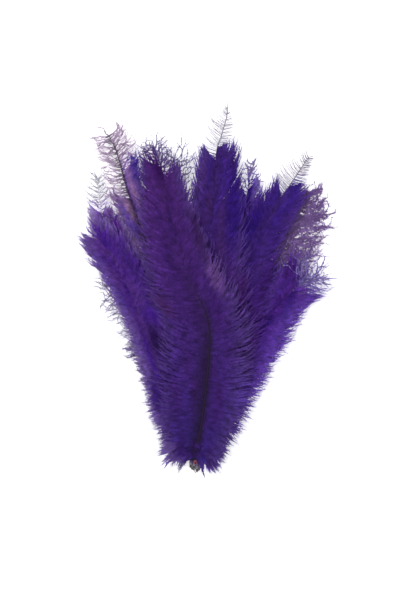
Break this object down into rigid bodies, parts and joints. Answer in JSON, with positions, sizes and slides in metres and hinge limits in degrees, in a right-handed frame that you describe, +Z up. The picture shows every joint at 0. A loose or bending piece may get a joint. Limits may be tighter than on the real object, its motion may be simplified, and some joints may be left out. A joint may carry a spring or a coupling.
{
  "type": "bunch of dyed ostrich feathers",
  "caption": "Fanned bunch of violet-dyed ostrich plumes held by a wound thread tie, lying flat.",
  "frame": {"origin": "middle of the bunch's bounding box in plan, on the surface it lies on", "axes": "+Y from the tied quill ends to the plume tips, +Z up off the surface, +X to the right seen from above"},
  "size_m": [0.2658, 0.3704, 0.032],
  "materials": {
    "violet_barbs": "soft, dyed barbs",
    "indigo_barbs": "soft, dyed barbs",
    "plum_barbs": "soft, dyed barbs",
    "lilac_barbs": "soft, thinly dyed barbs",
    "thread": "matt wound thread"
  },
  "bodies": {
    "root": {"front_plume": "violet_barbs", "lower_left_plume": "violet_barbs", "right_low_plume": "violet_barbs", "centre_tall_plume": "indigo_barbs", "right_plume": "indigo_barbs", "left_low_plume": "indigo_barbs", "left_middle_plume": "indigo_barbs", "left_tall_plume": "plum_barbs", "right_curly_plume": "plum_barbs", "back_left_plume": "lilac_barbs", "back_right_plume": "lilac_barbs", "left_pale_plume": "lilac_barbs", "binding_thread": "thread"}
  },
  "joints": []
}
